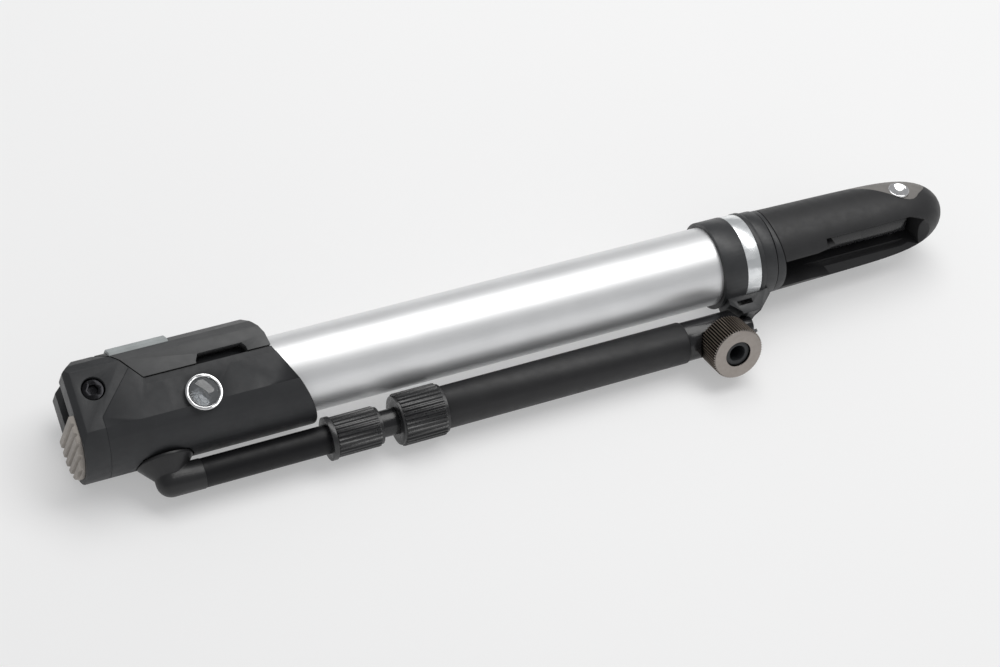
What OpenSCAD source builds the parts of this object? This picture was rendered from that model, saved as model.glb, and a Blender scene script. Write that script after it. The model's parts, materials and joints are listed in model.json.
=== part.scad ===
// Mini pump: a hand pump that also stands on the floor, with a fold-out foot peg,
// a handle that folds across its rod, and a side hose held in a clip on the collar.
// The pump axis is X, from the foot end to the handle. It is drawn with its side
// face up (+Z) and its hose side towards -Y, then rolled to how it lies on a table.

/* [Barrel] */
// Outside diameter of the barrel tube
barrel_d = 24; // [23:0.5:25]
// Wall thickness of the barrel tube
barrel_wall = 1.2; // [1:0.1:1.5]
// Barrel end nearest the foot
barrel_x0 = 31; // [30:0.5:32]
// Barrel end inside the collar
barrel_x1 = 209; // [208:0.5:210]

/* [Base] */
// Radius of the rounded hose side of the base
base_r = 15.2; // [15:0.1:15.6]
// Half the width of the base across its side flats
base_flat = 14.3; // [14:0.1:14.5]
// Height of the peg side of the base above the pump axis
base_top = 16.7; // [16.5:0.1:17]
// End face of the base cap
cap_x0 = 1.5; // [1.3:0.1:1.8]
// Rim of the sleeve on the peg side
sleeve_top_x = 59.2; // [58:0.2:60]
// Rim of the sleeve on the hose side
sleeve_bottom_x = 68.5; // [67:0.5:69]

/* [Foot peg] */
// Hinge axis of the foot peg along the pump
peg_hinge_x = 8.3; // [8:0.1:8.6]
// Hinge axis of the foot peg above the pump axis
peg_hinge_y = 6.4; // [6.2:0.1:6.6]
// Lower edge of the peg's side walls
peg_low_y = 6.2; // [6:0.1:6.4]
// Gap between the peg and the base
peg_gap = 0.3; // [0.25:0.05:0.35]

/* [Collar] */
// Radius of the collar at the head of the barrel
collar_r = 13.4; // [13.2:0.1:13.6]
// Collar end over the barrel
collar_x0 = 199.5; // [199:0.5:200]
// Collar end at the handle
collar_x1 = 217.7; // [217.5:0.1:217.8]

/* [Rod and handle] */
// Diameter of the piston rod
rod_d = 9.5; // [9.3:0.1:9.6]
// Pivot of the handle along the pump
pivot_x = 266.1; // [266:0.1:266.2]
// Far end of the handle
handle_x1 = 282.5; // [282:0.5:284]
// Radius of the handle at the collar
handle_r = 12.65; // [12.5:0.05:12.8]
// Turn of the handle about the rod at rest
handle_turn = 28.6; // [20:0.2:40]

/* [Hose] */
// Distance of the hose from the pump axis
hose_m = 21; // [20.8:0.1:21.4]
// Pivot of the elbow along the pump
elbow_x = 24; // [23.5:0.5:24.5]
// Radius of the thin hose
hose_r = 4.2; // [4:0.1:4.3]
// Radius of the thick hose sleeve
sleeve_r = 6.3; // [6.1:0.1:6.5]

/* [Valve head] */
// Axis of the clamp knob along the pump
knob_x = 195.4; // [195:0.1:195.6]
// Radius of the clamp knob
knob_r = 8.15; // [8:0.05:8.2]
// Face of the knob, from the hose axis
knob_face = 13.3; // [13:0.1:13.5]
// Turn of the knob about the hose, from straight out towards the side face
knob_turn = 42.2; // [30:0.2:45]
// Hole for the tyre valve
valve_hole_d = 5; // [4.8:0.1:5.2]

/* [Rest] */
// Roll of the pump about its axis as it lies on a table
roll = 21; // [18:0.5:24]

/* [Hidden] */

$fn = 96;
far = 60;
fit = 0.05;

barrel_r = barrel_d / 2;
bore_r = barrel_r - barrel_wall;
rod_r = rod_d / 2;

// Base
bevel_y = 12.3;
bevel_mid = [14.8, 12.2];
bevel_z = 9;
cap_corner_x = 5.6;
cap_corner_y = 13;
cap_chamfer = 1.6;
seam_x = 8.5;
seam_low_y = -2;
seam_slope = 1.09;
peg_under_r = barrel_r + 1.5;
under_wall_r = barrel_r + 1.2;
peg_reach = 11.05;
peg_edge_angle = 37.3;
ledge_x = 22.6;
ledge_y = 4;
ledge_depth = 0.4;
// Shallow hollow in the side face above the crease
hollow_x = 37;
hollow_r = 380;
hollow_depth = 0.62;
hollow_tilt = 3.2;
crease_y = -5.15;
cap_screw_at = 6.5;
cap_screw_r = 1.3;
cap_screw_head_r = 2.3;
cap_screw_x1 = 25;
knuckle_w = 9.8;
knuckle_r = 4.8;
knuckle_top_y = 13.9;
screw_r = 1.6;
screw_head_r = 3;
screw_head_h = 2.2;
screw_recess_r = 3.3;
screw_recess = 1.1;
badge_x = 37;
badge_m = 2.4;
badge_r = 5.2;
badge_wall = 0.9;
badge_floor = base_flat - 1.3;
dome_r = 9;
foot_r = 13.6;
foot_half = 12.3;
foot_rib = 2.8;
pad_x0 = 15.5;
pad_x1 = 32.5;
pad_seat = 0.6;
pad_h = 1.1;

// Check valve in the block behind the barrel
block_x0 = 15;
block_x1 = 36;
valve_chamber_r = 3;
valve_x0 = 19;
seat_x0 = 32;
seat_r = 3.6;
seat_bore_r = 1.2;
poppet_x0 = 30;
poppet_r = 2.7;
poppet_stem_r = 1.4;
poppet_stem_x0 = 24.5;
barrel_seal_x = 33.5;
spring_r = 2.1;
spring_wire_r = 0.28;
spring_turns = 5;
spring_steps = 14;
spring_sides = 6;
spring_x0 = 19.4;
spring_pitch = 2;
spigot_r = 3.3;
spigot_top_m = 5.5;
elbow_disc_r = 8;
elbow_disc_m = 14.4;
elbow_disc_h = 0.8;
elbow_cup_h = 4.4;
elbow_pocket_r = 8.4;
elbow_r = 4.35;
elbow_arm = 9;
elbow_seal_m = 9;
hose_core_r = 3.6;

// Collar
band_x0 = 207.2;
band_x1 = 211.9;
band_groove_r = 12.8;
cap_split_x = 213.4;
cap_r = 13;
spigot_x1 = 215.8;
spigot_outer_r = 10.6;
bushing_r = 8.2;
wiper_r = 6.2;
clip_r = 2.7;
stub_r = 2.6;
arm_half_n = 4.2;
arm_x0 = 204.1;
arm_x1 = 206.4;

// Piston and rod
piston_x0 = 39.6;
piston_x1 = 47.6;
piston_pin_r = 3.4;
piston_seal_x = 43.6;
pin_x0 = 37;
rod_wall = 1.1;
rod_x0 = 47.9;
rod_x1 = 252;
swing_r = pivot_x - 219.1;
handle_gap = 0.3;
rivet_r = 1.8;
rivet_head_r = 3.2;
rivet_head_z = 10;
rivet_face_z = 11.6;
slot_half = 5.05;
mouth_half = 6;
mouth_x0 = 239;
mouth_taper = 7;
mouth_x1 = pivot_x - 0.6;
lip_y = -7.1;
inlay_depth = 1.2;
inlay_gap = 0.03;

// Hose fittings
nut1_x0 = 70;
nut1_x1 = 85.6;
nut1_r = 5.9;
nut1_flange = 1.5;
nut2_x0 = 91;
nut2_x1 = 105.2;
nut2_r = 7.7;
neck_r = 3.9;
neck_x1 = 97;
neck_seal_x = 94;
sleeve_tail_r = 5.2;
sleeve_tail = 3;
sleeve_x1 = 183.6;
air_r = 1.6;

// Valve head
head_x1 = 200.5;
head_r = 5.9;
stub_x0 = 203.8;
stub_x1 = 206.8;
head_socket_x1 = 186.8;
neck_face = 10.5;
knob_neck_r = 5;
spot_face = 3.9;
knob_back = 4.2;
knob_lip = 0.3;
knurl_depth = 0.4;
knob_hole_r = 4.1;
grommet_r = 4;
grommet_back = 6.5;
grommet_h = 6.2;
valve_air_r = 1.2;

// Places the pump as it lies.
module lie() rotate([roll, 0, 0]) children();

// Extrudes an outline drawn in Y and Z from x0 to x1.
module along_x(x0, x1) translate([x0, 0, 0]) rotate([90, 0, 90]) linear_extrude(x1 - x0) children();

// Extrudes an outline drawn in X and Y to h above and below the pump's middle plane.
module across(h) linear_extrude(2 * h, center = true) children();

module rod_x(x0, x1, r) translate([x0, 0, 0]) rotate([0, 90, 0]) cylinder(h = x1 - x0, r = r);

module tube_x(x0, x1, r, bore) difference() {
    rod_x(x0, x1, r);
    rod_x(x0 - 1, x1 + 1, bore);
}

// A round seal ring about the X axis.
module seal_x(x, ring_r, wire_r) translate([x, 0, 0]) rotate([0, 90, 0])
    rotate_extrude() translate([ring_r, 0]) circle(wire_r, $fn = 24);

// Straight ribs round a nut or knob, as one closed outline.
module ribbed(r, depth, ribs) polygon([for (i = [0 : 4 * ribs - 1])
    let (a = 360 * i / (4 * ribs), q = r - (i % 4 < 2 ? 0 : depth)) [q * cos(a), q * sin(a)]]);

// Places children on the hose axis, drawn about X.
module on_hose() translate([0, -hose_m, 0]) children();

// Places children on the clamp knob's axis, drawn up +Z from the hose axis.
module on_knob() translate([knob_x, -hose_m, 0]) rotate([90 - knob_turn, 0, 0]) children();

// Turns children to the handle's position about the rod.
module turned() rotate([-handle_turn, 0, 0]) children();

/* ---- Base ---- */

// Closes an outline with the mirror image of its points across the first axis.
function both_halves(points) =
    concat(points, [for (i = [len(points) - 1 : -1 : 0]) [points[i].x, -points[i].y]]);

// Section of the whole base across the pump: round on the hose side, flat sided,
// and bevelled on the peg side.
module base_section() intersection() {
    union() {
        circle(base_r);
        translate([0, -far]) square([far, 2 * far]);
    }
    polygon(both_halves([[-far, base_flat], [bevel_y, base_flat], bevel_mid, [base_top, bevel_z]]));
}

// Side view of what the peg leaves to the base: an arc about the hinge, then a straight edge.
module peg_clearance(reach) translate([peg_hinge_x, peg_hinge_y]) rotate(peg_edge_angle) {
    circle(reach);
    translate([-far, -2 * far]) square([far + reach, 2 * far]);
}

// Side view of the cap, left of its slanting seam.
module cap_outline() polygon([[cap_x0, -far], [seam_x, -far], [seam_x, seam_low_y],
    [seam_x + (base_top - seam_low_y) / seam_slope, base_top],
    [cap_corner_x, base_top], [cap_x0, cap_corner_y]]);

// Side view of the sleeve and peg together, with the slanting rim at the barrel.
module rim_outline() polygon([[0, -20], [sleeve_bottom_x + 2.2, -20], [sleeve_top_x, 6.2],
    [sleeve_top_x - 0.6, 10], [sleeve_top_x - 2.6, 14], [sleeve_top_x - 4.7, base_top + 0.1],
    [0, base_top + 0.1]]);

// Side view of the sleeve's outer walls: under the peg, and left of its slanting edge.
module sleeve_outline() difference() {
    union() {
        intersection() {
            rim_outline();
            translate([seam_x, -far]) square([2 * far, far + peg_low_y - peg_gap]);
        }
        intersection() {
            peg_clearance(peg_reach - peg_gap);
            translate([seam_x, 0]) square([20, base_top]);
        }
    }
    cap_outline();
}

module base_sleeve() color("#3c3d3f") lie() difference() {
    intersection() {
        along_x(seam_x, far + 12) base_section();
        union() {
            across(far) sleeve_outline();
            rod_x(block_x0 + 9, sleeve_top_x - 3, under_wall_r);
        }
    }
    rod_x(0, 2 * far, barrel_r);
    both_sides() {
        translate([ledge_x, ledge_y, base_flat - ledge_depth]) cube([far, far, 5]);
        side_hollow();
    }
    translate([elbow_x, 0, 0]) rotate([90, 0, 0]) cylinder(h = far, r = spigot_r + 0.6);
    translate([elbow_x, -elbow_disc_m + peg_gap, 0]) rotate([90, 0, 0])
        cylinder(h = far, r = elbow_pocket_r);
    badge_pocket();
}

// Long shallow scoop out of the side face, deepest at its lower edge.
module side_hollow() intersection() {
    translate([hollow_x, crease_y, base_flat - hollow_depth]) rotate([hollow_tilt, 0, 0])
        translate([0, -far, hollow_r]) rotate([-90, 0, 0]) cylinder(h = 2 * far, r = hollow_r, $fn = 720);
    translate([0, crease_y, 0]) cube([far + 20, far, far]);
}

module base_cap() color("#38393b") lie() difference() {
    intersection() {
        along_x(cap_x0, 30) base_section();
        across(far) intersection() {
            cap_outline();
            peg_clearance(peg_reach - peg_gap);
        }
    }
    // Chamfer of the end face beside the cheeks
    both_sides() translate([cap_x0, -far, base_flat - cap_chamfer]) rotate([0, -45, 0])
        translate([-2, 0, 0]) cube([8, 2 * far, 5]);
    // Slot for the peg's knuckle, open at the end face and the top
    translate([0, peg_hinge_y - knuckle_r - 0.3, -knuckle_w / 2 - 0.3])
        cube([peg_hinge_x + knuckle_r + 0.3, far, knuckle_w + 0.6]);
    translate([0, bevel_y, -knuckle_w / 2 - 0.3]) cube([30, far, knuckle_w + 0.6]);
    rod_x(block_x0 - 0.4, far, barrel_r);
    translate([peg_hinge_x, peg_hinge_y, -far]) cylinder(h = 2 * far, r = screw_r);
    both_sides() at_hinge_head() cylinder(h = 5, r = screw_recess_r);
    at_cap_screws() {
        rod_x(-5, 30, cap_screw_r);
        rod_x(-5, cap_x0 + 3, cap_screw_head_r + 0.2);
    }
}

module at_cap_screws() for (side = [-1, 1]) translate([0, -cap_screw_at, side * cap_screw_at]) children();

module cap_screws() color("#8b8d90") lie() at_cap_screws() difference() {
    union() {
        rod_x(cap_x0 + 0.8, cap_x0 + 3, cap_screw_head_r);
        rod_x(cap_x0 + 3, cap_screw_x1, cap_screw_r);
    }
    along_x(0, cap_x0 + 2) circle(1.2, $fn = 6);
}

// Ribbed rubber foot: flat lands with valleys between them, on the hose side of the end face.
module end_pad() color("#a39c94") lie() difference() {
    intersection() {
        rod_x(0, cap_x0, foot_r);
        translate([0, -far, -foot_half]) cube([far, far + 1, 2 * foot_half]);
    }
    for (i = [0 : 4]) translate([-0.1, -1.5 - foot_rib * i, -far]) linear_extrude(2 * far)
        polygon([[0, 0.75], [0.95, 0.25], [0.95, -0.25], [0, -0.75]]);
}

module badge_pocket() translate([badge_x, -badge_m, badge_floor]) cylinder(h = 5, r = badge_r);

module badge_rim() color("#c9cacc") lie() translate([badge_x, -badge_m, badge_floor]) difference() {
    cylinder(h = 2.2, r = badge_r);
    translate([0, 0, 0.6]) cylinder(h = 3, r = badge_r - badge_wall);
}

module badge_lens() color("#dfe4e8") lie()
    translate([badge_x, -badge_m, badge_floor + 0.6]) intersection() {
    cylinder(h = 3, r = badge_r - badge_wall);
    translate([0, 0, 2 - dome_r]) sphere(dome_r);
}

// Places children at the peg's hinge, on the floor of the recess for a screw head.
module at_hinge_head() translate([peg_hinge_x, peg_hinge_y, base_flat - screw_recess - 2]) children();

module peg_hinge_screw() color("#1d1e20") lie() difference() {
    union() {
        translate([peg_hinge_x, peg_hinge_y, 1.5 - base_flat])
            cylinder(h = 2 * base_flat - 4.6, r = screw_r);
        at_hinge_head() cylinder(h = screw_head_h, r = screw_head_r);
    }
    at_hinge_head() translate([0, 0, 0.8]) cylinder(h = 3, r = 1.5, $fn = 6);
}

module peg_hinge_nut() color("#1d1e20") lie() mirror([0, 0, 1]) difference() {
    at_hinge_head() cylinder(h = screw_head_h, r = screw_head_r);
    at_hinge_head() translate([0, 0, -1]) cylinder(h = 2.6, r = screw_r);
}

/* ---- Foot peg ---- */

module peg_outline() difference() {
    intersection() {
        rim_outline();
        translate([0, peg_low_y]) square([2 * far, base_top - peg_low_y]);
    }
    peg_clearance(peg_reach);
    // Finger notch in the lower edge
    polygon([[36.9, 0], [37.6, 6.9], [38.6, 8.8], [51.4, 8.8], [52.4, 7.4], [53, 0]]);
}

module knuckle_outline() {
    translate([peg_hinge_x, peg_hinge_y]) circle(knuckle_r);
    polygon([[peg_hinge_x - knuckle_r, peg_hinge_y], [peg_hinge_x - knuckle_r, 11.6],
        [6.7, base_top], [24, base_top], [24, knuckle_top_y],
        [peg_hinge_x + knuckle_r, knuckle_top_y], [peg_hinge_x + knuckle_r, peg_hinge_y]]);
}

module foot_peg() color("#4a4b4e") lie() difference() {
    union() {
        intersection() {
            along_x(10, far + 2) base_section();
            across(far) peg_outline();
        }
        across(knuckle_w / 2) knuckle_outline();
    }
    rod_x(peg_hinge_x + knuckle_r + 1, 2 * far, peg_under_r);
    translate([peg_hinge_x, peg_hinge_y, -far]) cylinder(h = 2 * far, r = screw_r + fit);
    along_x(pad_x0, pad_x1) pad_section();
}

// Section of the pad, which wraps from the top of the peg over its upper bevels.
module pad_section() polygon(both_halves([
    [base_top - pad_seat, bevel_z - 0.15], [bevel_mid.x - 0.45, bevel_mid.y - 0.4], bevel_mid,
    [bevel_mid.x + 1.1, bevel_mid.y - 0.3], [base_top + pad_h, bevel_z - 0.3]]));

module peg_pad() color("#a5acac") lie() along_x(pad_x0, pad_x1) pad_section();

/* ---- Barrel and check valve ---- */

module barrel() color("#d5d7d9") lie() tube_x(barrel_x0, barrel_x1, barrel_r, bore_r);

module valve_block() color("#b9babd") lie() difference() {
    union() {
        rod_x(block_x0, barrel_x0, barrel_r);
        rod_x(barrel_x0, block_x1, bore_r);
    }
    rod_x(valve_x0, seat_x0, valve_chamber_r);
    rod_x(seat_x0, block_x1 + 1, seat_r);
    translate([elbow_x, 0, 0]) rotate([90, 0, 0]) cylinder(h = far, r = air_r);
    translate([elbow_x, -spigot_top_m, 0]) rotate([90, 0, 0]) cylinder(h = far, r = spigot_r + fit);
    at_cap_screws() rod_x(block_x0 - 1, cap_screw_x1 + 0.2, cap_screw_r);
    translate([barrel_seal_x, 0, 0]) seal_groove(bore_r, 1.1);
}

// A square groove for a seal, cut round a shaft of radius r.
module seal_groove(r, depth) rotate([0, 90, 0]) rotate_extrude()
    translate([r - depth, -0.8]) square([depth + 1, 1.6]);

module barrel_seal() color("#26272a") lie() seal_x(barrel_seal_x, bore_r - 0.56, 0.54);

module valve_seat() color("#b89a5a") lie() tube_x(seat_x0, block_x1, seat_r, seat_bore_r);

// Points round the wire of a coil spring about X, one ring for each step along it.
function coil_ring(step) =
    let (a = 360 * step / spring_steps, x = spring_x0 + spring_pitch * step / spring_steps)
    [for (k = [0 : spring_sides - 1]) let (b = 360 * k / spring_sides,
        r = spring_r + spring_wire_r * cos(b)) [x + spring_wire_r * sin(b), r * cos(a), r * sin(a)]];

module valve_spring() color("#9a9ca0") lie() {
    rings = spring_turns * spring_steps;
    side = spring_sides;
    polyhedron(
        points = [for (i = [0 : rings]) each coil_ring(i)],
        faces = concat([[for (k = [0 : side - 1]) k]], [[for (k = [side - 1 : -1 : 0]) rings * side + k]],
            [for (i = [0 : rings - 1]) for (k = [0 : side - 1]) let (n = (k + 1) % side)
                [i * side + n, i * side + k, (i + 1) * side + k, (i + 1) * side + n]]));
}

module valve_poppet() color("#7d4a38") lie() {
    rod_x(poppet_x0, seat_x0 - 0.05, poppet_r);
    rod_x(poppet_stem_x0, poppet_x0, poppet_stem_r);
}

/* ---- Collar ---- */

// Side view of the arm that reaches from the collar past the end of the hose head.
module arm_outline() polygon([[201, -11.5], [214.8, -11.5], [214.8, -14.3], [arm_x1, -21.8],
    [arm_x1, -24.6], [arm_x0, -24.6], [arm_x0, -17.6], [201, -14.6]]);

module collar() color("#3a3b3d") lie() difference() {
    union() {
        rod_x(collar_x0, cap_split_x, collar_r);
        rod_x(cap_split_x, spigot_x1, spigot_outer_r);
        difference() {
            across(arm_half_n) arm_outline();
            rod_x(cap_split_x, 230, cap_r + 0.1);
        }
    }
    rod_x(0, barrel_x1, barrel_r);
    rod_x(0, 230, bushing_r);
    // Groove of the clear band
    difference() {
        rod_x(band_x0, band_x1, collar_r + 0.1);
        rod_x(band_x0 - 1, band_x1 + 1, band_groove_r);
    }
    // Small window under the band
    translate([203.5, -15.6, -far]) cube([4.9, 1.4, 2 * far]);
    // Clip for the stub of the valve head, open to the side
    on_hose() rod_x(203, 210, clip_r);
    on_hose() translate([203, -clip_r, 0]) cube([7, 2 * clip_r, far]);
}

module clear_band() color("#dfe6ea") lie() tube_x(band_x0, band_x1, collar_r - 0.1, band_groove_r);

module collar_cap() color("#3a3b3d") lie() difference() {
    rod_x(cap_split_x, collar_x1, cap_r);
    rod_x(0, spigot_x1, spigot_outer_r);
    rod_x(0, 230, wiper_r);
}

module rod_bushing() color("#cfc8b4") lie() difference() {
    union() {
        rod_x(202, barrel_x1, bore_r);
        rod_x(barrel_x1, spigot_x1, bushing_r);
    }
    rod_x(0, 230, rod_r + fit);
}

module rod_wiper() color("#26272a") lie() tube_x(spigot_x1, collar_x1 - 0.4, wiper_r, rod_r + fit);

/* ---- Piston and rod ---- */

module piston_head() color("#d8d4c8") lie() difference() {
    rod_x(piston_x0, piston_x1, bore_r - 0.1);
    rod_x(0, 100, piston_pin_r + fit);
    translate([piston_seal_x, 0, 0]) seal_groove(bore_r - 0.1, 1.2);
}

module piston_seal() color("#26272a") lie() seal_x(piston_seal_x, bore_r - 0.65, 0.6);

module rod_foot() color("#b9babd") lie() {
    rod_x(pin_x0, rod_x0, piston_pin_r);
    rod_x(rod_x0, 60, rod_r - rod_wall);
}

module piston_retainer() color("#9a9ca0") lie() tube_x(pin_x0, piston_x0 - 0.3, 5.4, piston_pin_r);

module rod_tube() color("#2b2c2e") lie() tube_x(rod_x0, rod_x1, rod_r, rod_r - rod_wall);

module rod_eye() color("#2b2c2e") lie() turned() difference() {
    union() {
        rod_x(rod_x1 - 14, rod_x1, rod_r - rod_wall);
        rod_x(rod_x1, pivot_x, rod_r);
        intersection() {
            rod_x(pivot_x - 1, pivot_x + 10, rod_r);
            translate([pivot_x, 0, -far]) cylinder(h = 2 * far, r = rod_r);
        }
    }
    translate([pivot_x, 0, -far]) cylinder(h = 2 * far, r = rivet_r + fit);
}

module rod_bumper() color("#37383a") lie() turned() difference() {
    rod_x(218, 222, handle_r);
    rod_x(0, 230, rod_r);
    translate([pivot_x, 0, -far]) cylinder(h = 2 * far, r = swing_r);
}

/* ---- Handle ---- */

// Radius of the handle at t, from 0 at the collar to 1 at the tip.
function grip_radius(t) = handle_r * (1 - 0.09 * t) * sqrt(1 - pow(t, 8));

// Solid of revolution of the grip, made smaller all round by inset.
module grip_body(inset) {
    steps = 24;
    rotate([0, 90, 0]) rotate_extrude() polygon(concat([[0, 217]], [for (i = [0 : steps])
        let (t = 1 - pow(1 - i / steps, 2))
            [max(grip_radius(t) - inset, 0), 217 + t * (handle_x1 - inset - 217)]]));
}

// Side view of the saddle round the rivet, which runs over the edge of the grip.
module inlay_outline() polygon([[249, 15], [249.4, 10.5], [251, 8], [254.2, 6], [257.5, 3.4], [260, 1.1],
    [262, -0.6], [264, -2.3], [266.3, -3.5], [268, -3.9], [269.6, -3.8], [271.1, -3.1], [272.4, -2],
    [274.3, -0.8], [276, 0.5], [277.3, 2.5], [278, 5], [278.2, 8], [278.2, 15]]);

// Repeats children on the far side of the pump or handle.
module both_sides() for (side = [0, 1]) mirror([0, 0, side]) children();

module slot() {
    rod_x(200, pivot_x, slot_half);
    translate([pivot_x, 0, -slot_half]) cylinder(h = 2 * slot_half, r = slot_half + 0.4);
    translate([200, -far, -slot_half]) cube([pivot_x - 200 + slot_half + 0.4, far, 2 * slot_half]);
    // Wider mouth with a round end, flared where it meets the surface
    translate([0, -5, 0]) rotate([90, 0, 0]) linear_extrude(far) {
        translate([mouth_x1, 0]) circle(mouth_half);
        polygon([[mouth_x0 - mouth_taper, -slot_half], [mouth_x0, -mouth_half], [mouth_x1, -mouth_half],
            [mouth_x1, mouth_half], [mouth_x0, mouth_half], [mouth_x0 - mouth_taper, slot_half]]);
    }
    both_sides() along_x(mouth_x0 - mouth_taper / 2, mouth_x1)
        polygon([[lip_y, mouth_half - 0.05], [lip_y, mouth_half], [lip_y - 5, mouth_half + 5],
            [lip_y - 5, mouth_half - 0.05]]);
    translate([mouth_x1, lip_y, 0]) rotate([90, 0, 0])
        cylinder(h = 5, r1 = mouth_half, r2 = mouth_half + 5);
}

module handle_grip() color("#343537") lie() turned() difference() {
    intersection() {
        grip_body(0);
        translate([pivot_x, 0, -far]) cylinder(h = 2 * far, r = swing_r - handle_gap);
    }
    slot();
    translate([pivot_x, 0, -far]) cylinder(h = 2 * far, r = rivet_r);
    inlay_space(inlay_gap);
    both_sides() translate([pivot_x, 0, rivet_head_z - inlay_gap])
        cylinder(h = far, r = rivet_head_r + inlay_gap);
}

// Space of the saddle: a thin layer of the grip's surface, with a gap round it.
module inlay_space(gap) difference() {
    intersection() {
        grip_body(0);
        linear_extrude(2 * far, center = true) offset(delta = gap) inlay_outline();
    }
    grip_body(inlay_depth + gap);
}

module rivet_inlay() color("#6a6764") lie() turned() difference() {
    inlay_space(0);
    translate([pivot_x, 0, -far]) cylinder(h = 2 * far, r = rivet_head_r + inlay_gap);
}

// Rivet with a dished head on each side.
module pivot_rivet() color("#c8c9cb") lie() turned() translate([pivot_x, 0, 0]) {
    cylinder(h = 2 * rivet_head_z, r = rivet_r, center = true);
    both_sides() difference() {
        translate([0, 0, rivet_head_z]) cylinder(h = rivet_face_z - rivet_head_z, r = rivet_head_r);
        translate([0, 0, rivet_face_z - 0.9]) cylinder(h = 1, r1 = 0.7, r2 = rivet_head_r - 0.3);
    }
}

/* ---- Hose ---- */

// Places children on the elbow's pivot, drawn up +Z from m, the distance towards the hose.
module at_elbow(m) translate([elbow_x, -m, 0]) rotate([90, 0, 0]) children();

module elbow() color("#2e2f31") lie() difference() {
    union() {
        at_elbow(spigot_top_m + 0.1) cylinder(h = hose_m - spigot_top_m, r = spigot_r);
        at_elbow(elbow_disc_m) cylinder(h = elbow_disc_h, r = elbow_disc_r);
        at_elbow(elbow_disc_m + elbow_disc_h) cylinder(h = elbow_cup_h, r1 = elbow_disc_r, r2 = elbow_r);
        at_elbow(elbow_disc_m) cylinder(h = hose_m - elbow_disc_m, r = elbow_r);
        translate([elbow_x, -hose_m, 0]) sphere(elbow_r);
        on_hose() rod_x(elbow_x, elbow_x + elbow_arm, elbow_r);
    }
    at_elbow(0) cylinder(h = hose_m, r = air_r);
    on_hose() rod_x(elbow_x, 50, air_r);
    on_hose() rod_x(elbow_x + 5, 50, hose_core_r);
    at_elbow_seal() seal_groove(spigot_r, 0.7);
}

module at_elbow_seal() translate([elbow_x, -elbow_seal_m, 0]) rotate([0, 0, -90]) children();

module elbow_seal() color("#26272a") lie() at_elbow_seal() seal_x(0, spigot_r - 0.33, 0.35);

module hose_pipe() color("#2a2b2d") lie() on_hose() difference() {
    union() {
        rod_x(elbow_x + elbow_arm, nut1_x0 + 3, hose_r);
        rod_x(elbow_x + 5, elbow_x + elbow_arm, hose_core_r);
    }
    rod_x(0, 100, air_r);
}

module ferrule_nut() color("#323335") lie() on_hose() difference() {
    union() {
        rod_x(nut1_x0, nut1_x0 + nut1_flange, nut1_r + 0.45);
        rod_x(nut1_x0, nut1_x1, nut1_r - 0.45);
        along_x(nut1_x0 + 1.9, nut1_x1 - 0.9) ribbed(nut1_r, 0.4, 28);
    }
    rod_x(nut1_x0 - 1, nut1_x0 + 3, hose_r);
    rod_x(0, 200, neck_r);
}

module swivel_neck() color("#1f2022") lie() on_hose() difference() {
    rod_x(nut1_x0 + 3, neck_x1, neck_r);
    rod_x(0, 200, air_r);
    translate([neck_seal_x, 0, 0]) seal_groove(neck_r, 0.7);
}

module neck_seal() color("#26272a") lie() on_hose() seal_x(neck_seal_x, neck_r - 0.33, 0.35);

module swivel_nut() color("#303133") lie() on_hose() difference() {
    union() {
        rod_x(nut2_x0, nut2_x1, nut2_r - 0.55);
        along_x(nut2_x0 + 0.7, nut2_x1 - 0.9) ribbed(nut2_r, 0.5, 34);
    }
    rod_x(0, neck_x1 + 0.3, neck_r + fit + 0.02);
    rod_x(0, 200, hose_core_r);
    rod_x(nut2_x1 - sleeve_tail, 200, sleeve_tail_r);
}

module hose_sleeve() color("#303133") lie() on_hose() difference() {
    union() {
        rod_x(nut2_x1, sleeve_x1, sleeve_r);
        rod_x(nut2_x1 - sleeve_tail, nut2_x1, sleeve_tail_r);
    }
    rod_x(0, 200, hose_core_r);
}

module hose_core() color("#4a4b4e") lie() on_hose()
    tube_x(neck_x1 + 0.3, head_socket_x1, hose_core_r, air_r);

/* ---- Valve head ---- */

// Body of the valve head, cut flat under the knob, with the knob's neck standing on the flat.
module head_body() color("#2b2c2e") lie() difference() {
    union() {
        difference() {
            on_hose() {
                rod_x(sleeve_x1, head_x1, head_r);
                translate([head_x1, 0, 0]) rotate([0, 90, 0])
                    cylinder(h = stub_x0 - head_x1, r1 = head_r, r2 = stub_r);
            }
            on_knob() translate([0, 0, spot_face]) cylinder(h = far, r = knob_r + 0.3);
        }
        on_hose() rod_x(stub_x0 - 1, stub_x1, stub_r);
        on_knob() cylinder(h = neck_face, r = knob_neck_r);
    }
    on_hose() rod_x(0, head_socket_x1, hose_core_r);
    on_hose() rod_x(0, knob_x + 2.5, air_r);
    on_knob() cylinder(h = far, r = valve_air_r);
    on_knob() translate([0, 0, grommet_back]) cylinder(h = far, r = grommet_r);
}

module valve_grommet() color("#26272a") lie() on_knob() difference() {
    translate([0, 0, grommet_back]) cylinder(h = grommet_h, r = grommet_r);
    cylinder(h = far, r = valve_hole_d / 2);
}

module clamp_knob() color("#87827d") lie() on_knob() difference() {
    union() {
        translate([0, 0, knob_back]) linear_extrude(knob_face - knob_lip - knob_back)
            ribbed(knob_r, knurl_depth, 60);
        translate([0, 0, knob_back]) cylinder(h = knob_face - knob_back, r = knob_r - knurl_depth);
    }
    cylinder(h = neck_face + 0.2, r = knob_neck_r + fit);
    cylinder(h = far, r = knob_hole_r);
}

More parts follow.
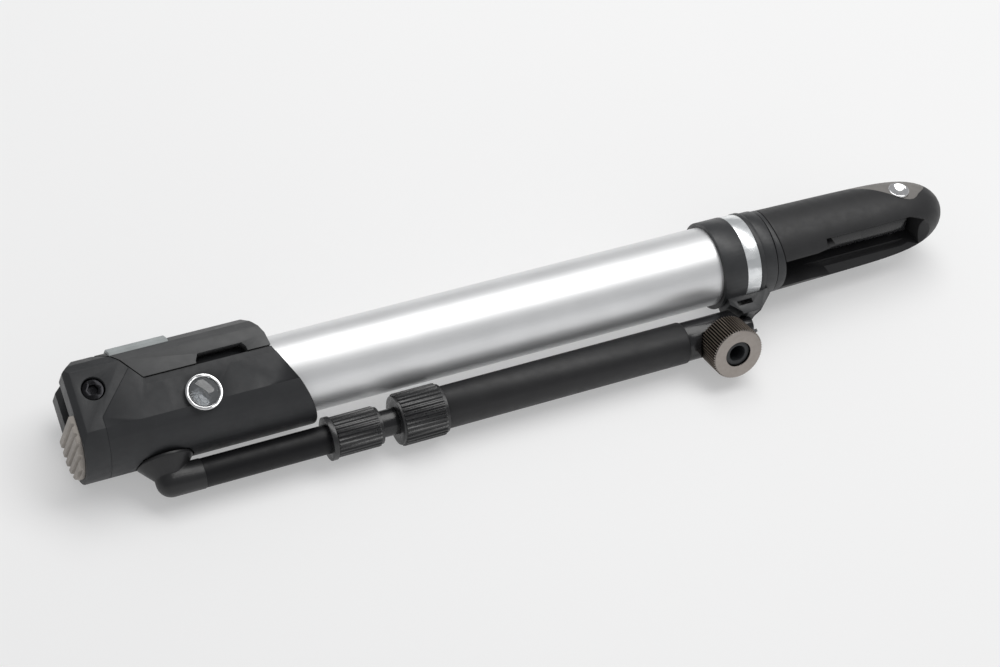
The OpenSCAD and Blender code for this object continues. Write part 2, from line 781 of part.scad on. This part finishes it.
barrel();
base_sleeve();
base_cap();
end_pad();
badge_rim();
badge_lens();
peg_hinge_screw();
peg_hinge_nut();
cap_screws();
valve_block();
barrel_seal();
valve_seat();
valve_spring();
valve_poppet();
collar();
clear_band();
collar_cap();
rod_bushing();
rod_wiper();
piston_head();
piston_seal();
rod_foot();
piston_retainer();
rod_tube();
rod_eye();
rod_bumper();
handle_grip();
pivot_rivet();
rivet_inlay();
foot_peg();
peg_pad();
elbow();
elbow_seal();
hose_pipe();
ferrule_nut();
swivel_neck();
neck_seal();
swivel_nut();
hose_sleeve();
hose_core();
head_body();
valve_grommet();
clamp_knob();
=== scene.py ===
"""Looks of the mini pump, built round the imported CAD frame.

The shapes are the frame's own. This script adds the camera, a pale stage with soft light, a node material
for every slot in the record, and small rounded edges on the pieces that the eye meets first.
"""

import json
import math

import bpy
from mathutils import Matrix, Vector


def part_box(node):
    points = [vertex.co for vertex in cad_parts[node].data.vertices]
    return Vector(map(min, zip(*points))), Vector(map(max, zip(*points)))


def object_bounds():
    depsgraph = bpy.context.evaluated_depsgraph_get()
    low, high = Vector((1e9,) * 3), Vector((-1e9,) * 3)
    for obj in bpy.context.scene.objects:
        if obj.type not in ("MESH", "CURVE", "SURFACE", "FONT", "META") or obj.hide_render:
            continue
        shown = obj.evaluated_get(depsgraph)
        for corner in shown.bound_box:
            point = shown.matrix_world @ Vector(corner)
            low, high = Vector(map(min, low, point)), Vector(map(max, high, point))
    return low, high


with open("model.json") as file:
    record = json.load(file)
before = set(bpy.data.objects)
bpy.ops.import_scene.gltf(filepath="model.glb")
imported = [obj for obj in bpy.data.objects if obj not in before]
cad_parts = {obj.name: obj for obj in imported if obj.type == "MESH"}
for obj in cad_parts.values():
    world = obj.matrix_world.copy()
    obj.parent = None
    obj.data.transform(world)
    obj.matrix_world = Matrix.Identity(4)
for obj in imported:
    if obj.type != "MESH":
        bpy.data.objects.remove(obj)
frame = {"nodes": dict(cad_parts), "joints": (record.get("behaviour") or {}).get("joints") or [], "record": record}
cad_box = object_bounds()
nodes = frame["nodes"]
joints = {j["name"]: j for j in frame["joints"]}

MM = 0.001

# The pump's own directions: along the barrel, and out of the side face.
ALONG = Vector((1, 0, 0))
SIDE = Vector(joints["peg_fold"]["axis"]).normalized()

# Badge on the base: its middle, and the radius of the dark floor inside its ring
BADGE_AT = sum(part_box("badge_rim"), Vector()) / 2
BADGE_FLOOR = 4.2 * MM

# Clamp knob: its axis, the height of its face along it, and the radius of its knurl's tips
KNOB_AXIS = Vector(joints["knob_turn"]["axis"]).normalized()
KNOB_AT = Vector(joints["knob_turn"]["pos_m"])
KNOB_POINTS = [v.co - KNOB_AT for v in nodes["clamp_knob"].data.vertices]
KNOB_FACE = max(p.dot(KNOB_AXIS) for p in KNOB_POINTS)
KNOB_RADIUS = max(p.cross(KNOB_AXIS).length for p in KNOB_POINTS)


def axis_frame(at, z_axis):
    """A frame at a point, with +Z along z_axis and +X as near the barrel's direction as it can be."""
    z = z_axis.normalized()
    x = (ALONG - z * ALONG.dot(z)).normalized()
    turn = Matrix((x, z.cross(x), z)).transposed().to_4x4()
    return Matrix.Translation(at) @ turn


# ---------------------------------------------------------------- camera, floor and light

# Angles in degrees, distances in metres, lens in millimetres
CAMERA_AZIMUTH = -32.9
CAMERA_ELEVATION = 50.5
CAMERA_ROLL = 11.8
CAMERA_DISTANCE = 0.7046
CAMERA_LENS = 86.6
CAMERA_SENSOR = 36
CAMERA_AIM = Vector((0.1304, -0.0030, -0.0026))

FLOOR_SIZE = 6
FLOOR_MIDDLE_X = 0.1
# The pale table passes a little light up from below, as white acrylic does.
FLOOR_GLOW = 0.34

# Area lights: place, point they face, width and height in metres, power in watts, colour
LIGHTS = {
    "overhead_softbox": ((0.43, 0.22, 0.90), (0.12, 0.0, 0.0), (1.1, 0.54), 6.6, (1.0, 0.995, 0.985)),
    "front_card": ((0.10, -0.95, 0.13), (0.12, 0.0, 0.02), (1.9, 0.34), 1.1, (1.0, 1.0, 1.0)),
}
ROOM_COLOUR = (0.97, 0.98, 1.0, 1)
ROOM_STRENGTH = 0.36


def make_camera():
    data = bpy.data.cameras.new("camera")
    data.lens = CAMERA_LENS
    data.sensor_width = CAMERA_SENSOR
    data.clip_start = 0.01
    camera = bpy.data.objects.new("camera", data)
    bpy.context.scene.collection.objects.link(camera)
    azimuth = math.radians(CAMERA_AZIMUTH)
    elevation = math.radians(CAMERA_ELEVATION)
    back = Vector((
        math.sin(azimuth) * math.cos(elevation),
        -math.cos(azimuth) * math.cos(elevation),
        math.sin(elevation),
    ))
    camera.rotation_mode = "QUATERNION"
    level = back.to_track_quat("Z", "Y")
    roll = Matrix.Rotation(math.radians(CAMERA_ROLL), 3, "Z").to_quaternion()
    camera.rotation_quaternion = level @ roll
    camera.location = CAMERA_AIM + back * CAMERA_DISTANCE
    bpy.context.scene.camera = camera


def area_light(name, at, aim, size, power, colour):
    data = bpy.data.lights.new(name, "AREA")
    data.shape = "RECTANGLE"
    data.size, data.size_y = size
    data.energy = power
    data.color = colour
    light = bpy.data.objects.new(name, data)
    bpy.context.scene.collection.objects.link(light)
    light.location = at
    light.rotation_euler = (Vector(at) - Vector(aim)).to_track_quat("Z", "Y").to_euler()


def make_stage():
    """The floor that the pump lies on, its lights and the even light of the room."""
    floor_z = cad_box[0].z
    bpy.ops.mesh.primitive_plane_add(size=FLOOR_SIZE, location=(FLOOR_MIDDLE_X, 0, floor_z))
    floor = bpy.context.object
    floor.name = "floor"
    floor.data.materials.append(floor_paint())
    for name, settings in LIGHTS.items():
        area_light(name, *settings)
    world = bpy.data.worlds.new("studio")
    world.use_nodes = True
    background = world.node_tree.nodes["Background"]
    background.inputs["Color"].default_value = ROOM_COLOUR
    background.inputs["Strength"].default_value = ROOM_STRENGTH
    bpy.context.scene.world = world
    bpy.context.scene.view_settings.view_transform = "Standard"


# ---------------------------------------------------------------- materials

class Paint:
    """A node material, with short calls for the nodes that the surfaces share. Lengths are in metres."""

    def __init__(self, name):
        self.material = bpy.data.materials.new(name)
        self.material.use_nodes = True
        self.tree = self.material.node_tree
        self.shader = self.tree.nodes["Principled BSDF"]
        self.place = self.add("ShaderNodeTexCoord").outputs["Object"]
        self.normal = None

    def add(self, kind, **settings):
        """A new node, with its settings."""
        node = self.tree.nodes.new(kind)
        for key, value in settings.items():
            setattr(node, key, value)
        return node

    def feed(self, socket, value):
        """Links a socket to another, or gives it a fixed value."""
        if isinstance(value, bpy.types.NodeSocket):
            self.tree.links.new(value, socket)
        else:
            socket.default_value = value

    def set(self, **values):
        """Fixed values on the shader's own sockets."""
        for key, value in values.items():
            self.shader.inputs[key.replace("_", " ")].default_value = value

    def local(self, placing):
        """Coordinates in a frame of the object's own, such as one turned to a knob's axis."""
        mapping = self.add("ShaderNodeMapping", vector_type="TEXTURE")
        self.feed(mapping.inputs["Vector"], self.place)
        mapping.inputs["Location"].default_value = placing.to_translation()
        mapping.inputs["Rotation"].default_value = placing.to_euler()
        return mapping.outputs["Vector"]

    def noise(self, size, detail=2.0, roughness=0.5, stretch=None):
        """Noise whose features are about `size` across, or longer along X where stretch is under 1."""
        vector = self.place
        if stretch:
            mapping = self.add("ShaderNodeMapping")
            self.feed(mapping.inputs["Vector"], vector)
            mapping.inputs["Scale"].default_value = stretch
            vector = mapping.outputs["Vector"]
        node = self.add("ShaderNodeTexNoise")
        self.feed(node.inputs["Vector"], vector)
        node.inputs["Scale"].default_value = 1 / size
        node.inputs["Detail"].default_value = detail
        node.inputs["Roughness"].default_value = roughness
        return node.outputs["Fac"]

    def spread(self, value, low, high, at_low=0.3, at_high=0.7):
        """Maps at_low..at_high onto low..high."""
        node = self.add("ShaderNodeMapRange")
        self.feed(node.inputs["Value"], value)
        node.inputs["From Min"].default_value = at_low
        node.inputs["From Max"].default_value = at_high
        node.inputs["To Min"].default_value = low
        node.inputs["To Max"].default_value = high
        return node.outputs["Result"]

    def mix(self, factor, first, second):
        """Mixes two colours. Sockets 0, 6 and 7 of the node are its factor and its two colours."""
        node = self.add("ShaderNodeMix", data_type="RGBA")
        self.feed(node.inputs[0], factor)
        self.feed(node.inputs[6], first)
        self.feed(node.inputs[7], second)
        return node.outputs[2]

    def bump(self, height, distance):
        """Adds relief, on top of any that the surface has already."""
        node = self.add("ShaderNodeBump")
        node.inputs["Distance"].default_value = distance
        self.feed(node.inputs["Height"], height)
        if self.normal is not None:
            self.feed(node.inputs["Normal"], self.normal)
        self.normal = node.outputs["Normal"]
        self.feed(self.shader.inputs["Normal"], self.normal)

    def math(self, operation, first, second=0.0):
        node = self.add("ShaderNodeMath", operation=operation)
        self.feed(node.inputs[0], first)
        self.feed(node.inputs[1], second)
        return node.outputs["Value"]

    def part(self, vector, axis):
        """One coordinate, X, Y or Z, of a vector."""
        split = self.add("ShaderNodeSeparateXYZ")
        self.feed(split.inputs["Vector"], vector)
        return split.outputs[axis]

    def radius(self, vector):
        """Distance from the Z axis."""
        squares = [self.math("POWER", self.part(vector, axis), 2) for axis in "XY"]
        return self.math("SQRT", self.math("ADD", *squares))

    def colour(self, value):
        self.feed(self.shader.inputs["Base Color"], value)

    def roughness(self, value):
        self.feed(self.shader.inputs["Roughness"], value)


def shade(colour, factor):
    """A colour made lighter or darker."""
    return tuple(min(1.0, c * factor) for c in colour[:3]) + (1.0,)


def floor_paint():
    """Pale, very faintly mottled table."""
    paint = Paint("pale_floor")
    mottle = paint.spread(paint.noise(0.25, 3), 0, 1)
    paint.colour(paint.mix(mottle, (0.61, 0.61, 0.61, 1), (0.625, 0.625, 0.625, 1)))
    paint.roughness(0.85)
    paint.set(Specular_IOR_Level=0.2, Emission_Strength=FLOOR_GLOW, Emission_Color=(1, 1, 1, 1))
    return paint.material


def moulded(name, colour, roughness=0.5, grain=0.00022, depth=0.00003, specular=0.5):
    """Moulded plastic with a fine eroded grain, faint mottling and slightly uneven gloss."""
    paint = Paint(name)
    mottle = paint.noise(0.006, 4)
    paint.colour(paint.mix(paint.spread(mottle, 0, 1), shade(colour, 0.9), shade(colour, 1.12)))
    patch = paint.noise(0.0025, 3)
    paint.roughness(paint.spread(patch, roughness - 0.05, roughness + 0.06))
    paint.set(Specular_IOR_Level=specular)
    paint.bump(paint.noise(grain, 3, 0.6), depth)
    return paint.material


def anodised():
    """Satin anodised tube: drawn lines along the tube over a soft, fine blasted surface."""
    paint = Paint("anodised_barrel")
    lines = paint.noise(0.00025, 2, stretch=(0.02, 1, 1))
    cloud = paint.noise(0.012, 3)
    paint.colour(paint.mix(paint.spread(cloud, 0, 1), (0.80, 0.805, 0.81, 1), (0.85, 0.855, 0.86, 1)))
    paint.roughness(paint.spread(lines, 0.38, 0.47))
    paint.set(Metallic=0.7)
    paint.bump(lines, 0.000004)
    paint.bump(paint.noise(0.00009, 2), 0.000006)
    return paint.material


def steel(name, colour, roughness):
    """Machined or plated metal with a faint smear."""
    paint = Paint(name)
    grain = 0.0003
    smear = paint.noise(grain, 3)
    paint.colour(paint.mix(paint.spread(smear, 0, 1), shade(colour, 0.88), shade(colour, 1.1)))
    paint.roughness(paint.spread(paint.noise(grain * 4, 3), roughness - 0.06, roughness + 0.08))
    paint.set(Metallic=1.0)
    paint.bump(smear, 0.000005)
    return paint.material


def chrome():
    """Polished plating, with the floor inside the badge's ring painted near black."""
    paint = Paint("chrome")
    haze = paint.noise(0.0015, 4)
    plated = paint.mix(paint.spread(haze, 0, 1), (0.80, 0.80, 0.81, 1), (0.88, 0.88, 0.88, 1))
    radius = paint.radius(paint.local(axis_frame(BADGE_AT, SIDE)))
    inside = paint.spread(radius, 1, 0, BADGE_FLOOR - 0.2 * MM, BADGE_FLOOR)
    paint.colour(paint.mix(inside, plated, (0.05, 0.052, 0.056, 1)))
    paint.roughness(paint.spread(haze, 0.08, 0.16))
    paint.set(Metallic=1.0)
    paint.bump(paint.noise(0.0004, 2), 0.000002)
    return paint.material


def rubber(name, colour, roughness=0.62):
    """Dull rubber with dark specks, a little dusty."""
    paint = Paint(name)
    speck = paint.noise(0.0004, 4, 0.7)
    cloud = paint.noise(0.005, 3)
    dusty = paint.mix(paint.spread(cloud, 0, 1), shade(colour, 0.9), shade(colour, 1.08))
    paint.colour(paint.mix(paint.spread(speck, 0, 0.25), dusty, shade(colour, 0.7)))
    paint.roughness(paint.spread(speck, roughness - 0.06, roughness + 0.08))
    paint.set(Specular_IOR_Level=0.35)
    paint.bump(speck, 0.00003)
    return paint.material


def clear(name, tint):
    """Clear plastic with a slow swirl in it."""
    paint = Paint(name)
    swirl = paint.noise(0.004, 3)
    paint.colour(paint.mix(paint.spread(swirl, 0, 1), shade(tint, 0.95), shade(tint, 1.0)))
    paint.roughness(paint.spread(swirl, 0.03, 0.07))
    paint.set(Transmission_Weight=0.9, IOR=1.5)
    paint.bump(swirl, 0.00001)
    return paint.material


def silvered():
    """A clear ring over a bright foil: uneven silver under a glossy coat."""
    paint = Paint("clear_band")
    foil = paint.noise(0.0035, 2, stretch=(0.5, 1, 1))
    bright = paint.spread(foil, 0, 1, 0.4, 0.62)
    paint.colour(paint.mix(bright, (0.62, 0.64, 0.65, 1), (0.90, 0.92, 0.93, 1)))
    paint.roughness(paint.spread(foil, 0.34, 0.22))
    paint.set(Metallic=0.55, Coat_Weight=1.0, Coat_Roughness=0.04, Coat_IOR=1.5)
    paint.bump(foil, 0.00004)
    return paint.material


def turned_metal():
    """The clamp knob: turning rings on its bright face; round its knurl, a painted highlight on the tips of the
    ribs and painted shade in the valleys between them.
    """
    paint = Paint("gunmetal")
    place = paint.local(axis_frame(KNOB_AT, KNOB_AXIS))
    radius = paint.radius(place)
    ring_pitch = 0.25 * MM
    rings = paint.math("SINE", paint.math("MULTIPLY", radius, 2 * math.pi / ring_pitch))
    smear = paint.noise(0.0012, 3)
    face = paint.mix(paint.spread(smear, 0, 1), (0.30, 0.272, 0.25, 1), (0.335, 0.305, 0.282, 1))
    # Painted light on the knurl: the valleys between the ribs are painted near black as shade, and the rib tips
    # bronze as a painted highlight.
    valley_shade_to_tip_highlight = paint.spread(radius, 0, 1, KNOB_RADIUS - 0.3 * MM, KNOB_RADIUS - 0.05 * MM)
    knurl = paint.mix(valley_shade_to_tip_highlight, (0.012, 0.010, 0.009, 1), (0.24, 0.20, 0.165, 1))
    height = paint.part(place, "Z")
    fresh = paint.spread(height, 0, 1, KNOB_FACE - 0.45 * MM, KNOB_FACE - 0.3 * MM)
    paint.colour(paint.mix(fresh, knurl, face))
    paint.roughness(paint.spread(smear, 0.30, 0.36))
    paint.set(Metallic=1.0)
    paint.bump(rings, 0.000003)
    return paint.material


# Material slot of the record: the paint that it gets
PAINTS = {
    "anodised_barrel": anodised,
    "base_black": lambda: moulded("base_black", (0.026, 0.027, 0.029), 0.5, specular=0.38),
    "peg_black": lambda: moulded("peg_black", (0.066, 0.067, 0.068), 0.5, specular=0.5),
    "collar_black": lambda: moulded("collar_black", (0.026, 0.027, 0.029), 0.42),
    "handle_soft": lambda: moulded("handle_soft", (0.022, 0.022, 0.023), 0.5, 0.00035, 0.000012, 0.42),
    "inlay_grey": lambda: rubber("inlay_grey", (0.21, 0.20, 0.19)),
    "foot_rubber": lambda: rubber("foot_rubber", (0.36, 0.33, 0.30)),
    "peg_rubber": lambda: rubber("peg_rubber", (0.36, 0.385, 0.385)),
    "seal_rubber": lambda: rubber("seal_rubber", (0.02, 0.02, 0.02), 0.5),
    "grommet_rubber": lambda: rubber("grommet_rubber", (0.028, 0.03, 0.032), 0.42),
    "chrome": chrome,
    "clear_lens": lambda: clear("clear_lens", (0.92, 0.95, 0.97)),
    "clear_band": silvered,
    "black_steel": lambda: steel("black_steel", (0.022, 0.022, 0.024), 0.2),
    "zinc_steel": lambda: steel("zinc_steel", (0.55, 0.55, 0.56), 0.32),
    "spring_steel": lambda: steel("spring_steel", (0.5, 0.5, 0.51), 0.25),
    "brass": lambda: steel("brass", (0.62, 0.45, 0.2), 0.28),
    "bushing_nylon": lambda: moulded("bushing_nylon", (0.55, 0.51, 0.42), 0.45),
    "rod_black": lambda: moulded("rod_black", (0.018, 0.018, 0.019), 0.25, 0.0003, 0.00001),
    "hose_fitting": lambda: moulded("hose_fitting", (0.016, 0.016, 0.017), 0.34, specular=0.4),
    "hose_rubber": lambda: moulded("hose_rubber", (0.008, 0.008, 0.009), 0.42, specular=0.22),
    "nut_black": lambda: moulded("nut_black", (0.016, 0.016, 0.017), 0.28, specular=0.6),
    "neck_gloss": lambda: moulded("neck_gloss", (0.010, 0.010, 0.011), 0.2, 0.0005, 0.00001),
    "sleeve_matt": lambda: moulded("sleeve_matt", (0.019, 0.019, 0.020), 0.44, specular=0.34),
    "gunmetal": turned_metal,
}


def paint_frame():
    """One material for each slot in use, on every CAD node."""
    slots = {s["node"]: s["material_slot"] for s in frame["record"]["subparts"]}
    made = {}
    for name, node in nodes.items():
        slot = slots[name]
        if slot not in made:
            made[slot] = PAINTS[slot]()
        node.data.materials.clear()
        node.data.materials.append(made[slot])


# ---------------------------------------------------------------- rounded edges on CAD pieces

# Width of the rounding, in millimetres
EDGE_WIDTHS = {
    "base_sleeve": 0.25, "base_cap": 0.25, "foot_peg": 0.25, "end_pad": 0.25, "peg_pad": 0.4,
    "collar": 0.4, "collar_cap": 0.35, "rod_bumper": 0.25, "handle_grip": 0.6, "clamp_knob": 0.08,
    "ferrule_nut": 0.15, "swivel_nut": 0.15, "elbow": 0.4, "head_body": 0.4, "hose_sleeve": 0.5,
    "badge_rim": 0.2, "peg_hinge_screw": 0.15, "pivot_rivet": 0.25, "valve_grommet": 0.3,
    "rod_eye": 0.3, "clear_band": 0.1,
}
# Edges sharper than this many degrees are rounded.
EDGE_ANGLE = 28
# Pieces with shallow facets, whose edges stay crisp at smaller angles.
FACETED = {"base_sleeve": 12, "base_cap": 9, "foot_peg": 9, "peg_pad": 9, "collar": 9}
# The sleeve's nearly flat side folds up when its faces are joined, so they stay apart.
UNJOINED = ("base_sleeve",)
# Vertices closer than this are one, and faces within this angle of each other are flat.
WELD_DISTANCE = 0.002 * MM
FLAT_ANGLE = 0.3


def round_edges(node, width, angle):
    """Joins the flat pieces of a CAD node's surface and rounds its sharp edges."""
    weld = node.modifiers.new("weld", "WELD")
    weld.merge_threshold = WELD_DISTANCE
    if node.name not in UNJOINED:
        flat = node.modifiers.new("flat", "DECIMATE")
        flat.decimate_type = "DISSOLVE"
        flat.angle_limit = math.radians(FLAT_ANGLE)
    bevel = node.modifiers.new("bevel", "BEVEL")
    bevel.width = width * MM
    bevel.segments = 3
    bevel.limit_method = "ANGLE"
    bevel.angle_limit = math.radians(angle)
    bevel.miter_outer = "MITER_ARC"
    bevel.harden_normals = True
    node.data.polygons.foreach_set("use_smooth", [True] * len(node.data.polygons))


make_camera()
make_stage()
paint_frame()
for piece, width in EDGE_WIDTHS.items():
    round_edges(nodes[piece], width, FACETED.get(piece, EDGE_ANGLE))
